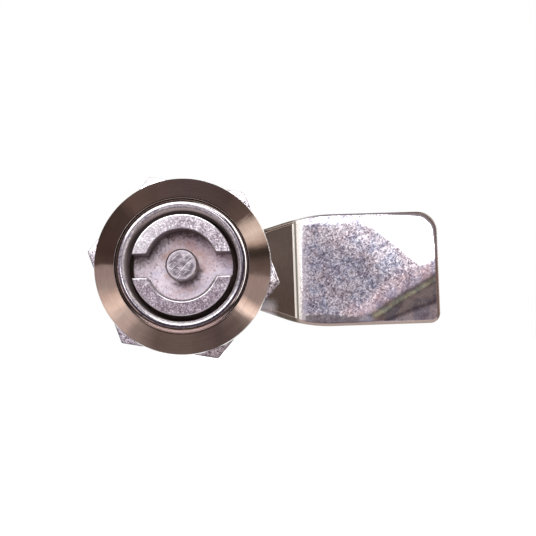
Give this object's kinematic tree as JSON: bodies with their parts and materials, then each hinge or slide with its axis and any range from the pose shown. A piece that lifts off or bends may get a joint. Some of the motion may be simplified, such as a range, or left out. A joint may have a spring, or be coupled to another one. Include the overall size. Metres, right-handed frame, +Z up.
{
  "type": "quarter-turn cam lock",
  "caption": "Round flanged quarter-turn lock with a double-bit key insert, hex nut on a threaded barrel, and a cranked flat cam.",
  "frame": {"origin": "on the lock's axis, in the flat underside of the flange where the panel bears", "axes": "+Y runs along the lock's axis toward the rear, so the face looks toward -Y; +X runs from the axis along the closed cam; +Z is up"},
  "size_m": [0.0601, 0.0333, 0.0294],
  "materials": {
    "housing_chrome": "polished chrome on zinc die casting",
    "insert_satin_chrome": "tumbled satin chrome on zinc die casting",
    "cam_zinc_plate": "bright zinc plating with spangle",
    "nut_zinc": "rough die-cast zinc",
    "zinc_plated_fixing": "clear zinc plating",
    "black_rubber": "black nitrile rubber"
  },
  "bodies": {
    "housing": {"housing": "housing_chrome", "flange_gasket": "black_rubber"},
    "rotor": {"insert": "insert_satin_chrome", "insert_ring": "black_rubber", "cam": "cam_zinc_plate", "flat_washer": "zinc_plated_fixing", "spring_washer": "zinc_plated_fixing", "hex_screw": "zinc_plated_fixing"},
    "washer": {"lock_washer": "zinc_plated_fixing"},
    "nut": {"hex_nut": "nut_zinc"}
  },
  "joints": [
    {"name": "insert_turn", "type": "hinge", "parent": "housing", "child": "rotor", "pos_m": [0, 0, 0], "axis": [0, -1, 0], "range_deg": [0, 90]},
    {"name": "nut_travel", "type": "slide", "parent": "housing", "child": "washer", "axis": [0, 1, 0], "range_m": [-0.0009, 0.01]},
    {"name": "nut_turn", "type": "hinge", "parent": "washer", "child": "nut", "pos_m": [0, 0, 0], "axis": [0, 1, 0], "range_deg": [-216, 2400]}
  ],
  "couplings": [
    {"joint": "nut_travel", "follows": "nut_turn", "m_per_rad": 0.00023873}
  ]
}
